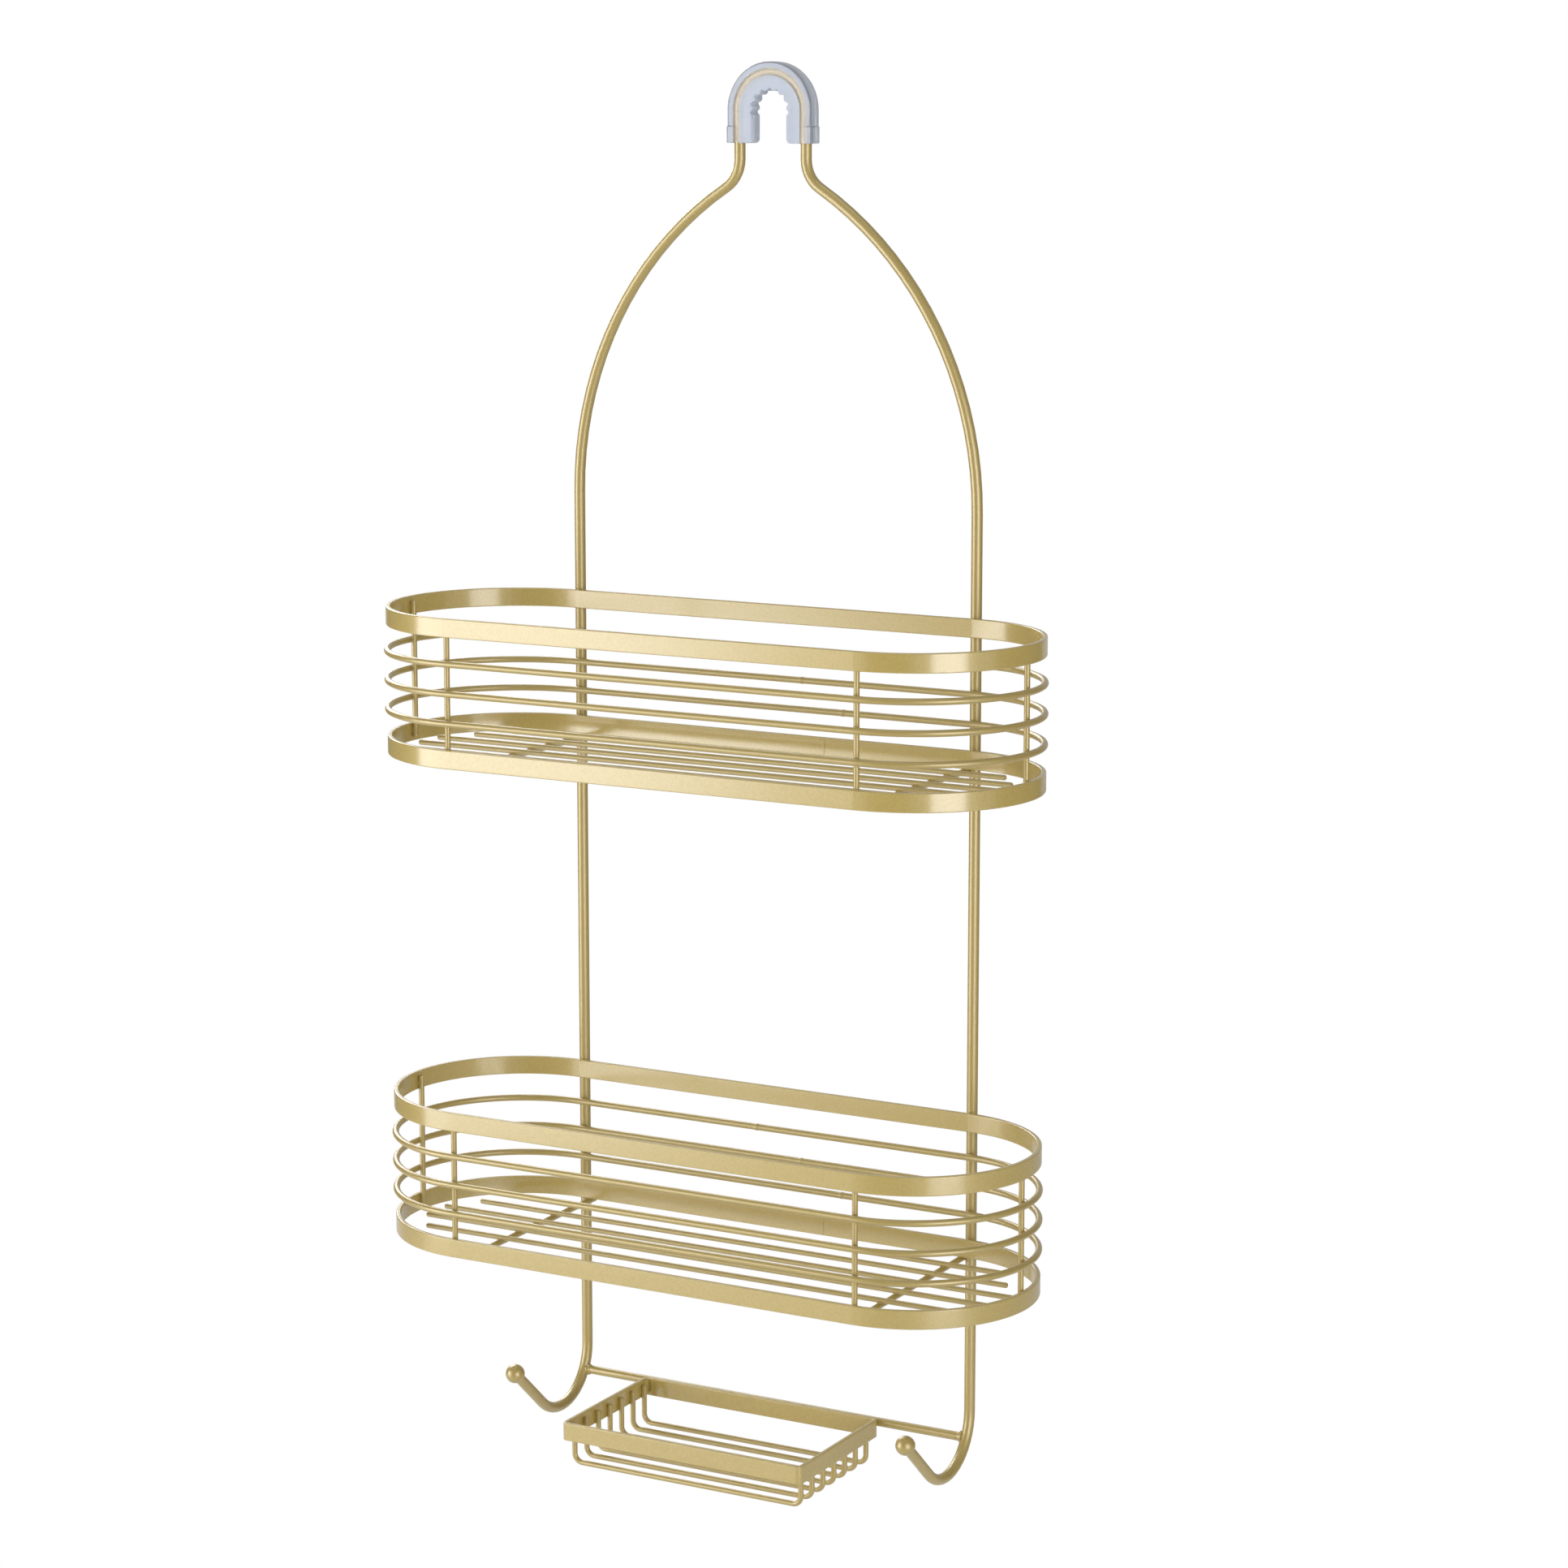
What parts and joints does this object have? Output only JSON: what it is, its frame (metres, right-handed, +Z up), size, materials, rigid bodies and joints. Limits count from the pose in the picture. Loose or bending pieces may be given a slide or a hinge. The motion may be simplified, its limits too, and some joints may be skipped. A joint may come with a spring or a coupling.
{
  "type": "shower caddy",
  "caption": "Shower caddy of bent gold rod that hangs on a shower arm by a soft grip, with oval wire baskets, a soap dish and ball-ended hooks.",
  "frame": {"origin": "centre of the grip's inner arch, on the shower arm's axis, midway through the grip's depth", "axes": "+X to the right seen from the front, +Y back to the wall along the shower arm, +Z up"},
  "size_m": [0.3016, 0.1137, 0.6007],
  "materials": {
    "champagne_gold": "satin champagne gold",
    "milky_grip": "milky translucent soft plastic"
  },
  "bodies": {
    "root": {"hanger_frame": "champagne_gold", "hook_ball_right": "champagne_gold", "hook_ball_left": "champagne_gold", "shower_arm_grip": "milky_grip", "upper_top_band": "champagne_gold", "upper_bottom_band": "champagne_gold", "upper_ring_1": "champagne_gold", "upper_ring_2": "champagne_gold", "upper_ring_3": "champagne_gold", "upper_post_front_left": "champagne_gold", "upper_post_front_right": "champagne_gold", "upper_post_left_end": "champagne_gold", "upper_post_right_end": "champagne_gold", "upper_cross_wire_right": "champagne_gold", "upper_cross_wire_left": "champagne_gold", "upper_floor_wire_1": "champagne_gold", "upper_floor_wire_2": "champagne_gold", "upper_floor_wire_3": "champagne_gold", "upper_floor_wire_4": "champagne_gold", "upper_floor_wire_5": "champagne_gold", "upper_floor_wire_6": "champagne_gold", "lower_top_band": "champagne_gold", "lower_bottom_band": "champagne_gold", "lower_ring_1": "champagne_gold", "lower_ring_2": "champagne_gold", "lower_ring_3": "champagne_gold", "lower_post_front_left": "champagne_gold", "lower_post_front_right": "champagne_gold", "lower_post_left_end": "champagne_gold", "lower_post_right_end": "champagne_gold", "lower_cross_wire_right": "champagne_gold", "lower_cross_wire_left": "champagne_gold", "lower_floor_wire_1": "champagne_gold", "lower_floor_wire_2": "champagne_gold", "lower_floor_wire_3": "champagne_gold", "lower_floor_wire_4": "champagne_gold", "lower_floor_wire_5": "champagne_gold", "lower_floor_wire_6": "champagne_gold", "cross_bar": "champagne_gold", "soap_dish_band": "champagne_gold", "soap_dish_wire_1": "champagne_gold", "soap_dish_wire_2": "champagne_gold", "soap_dish_wire_3": "champagne_gold", "soap_dish_wire_4": "champagne_gold", "soap_dish_wire_5": "champagne_gold", "soap_dish_wire_6": "champagne_gold", "soap_dish_wire_7": "champagne_gold"}
  },
  "joints": []
}
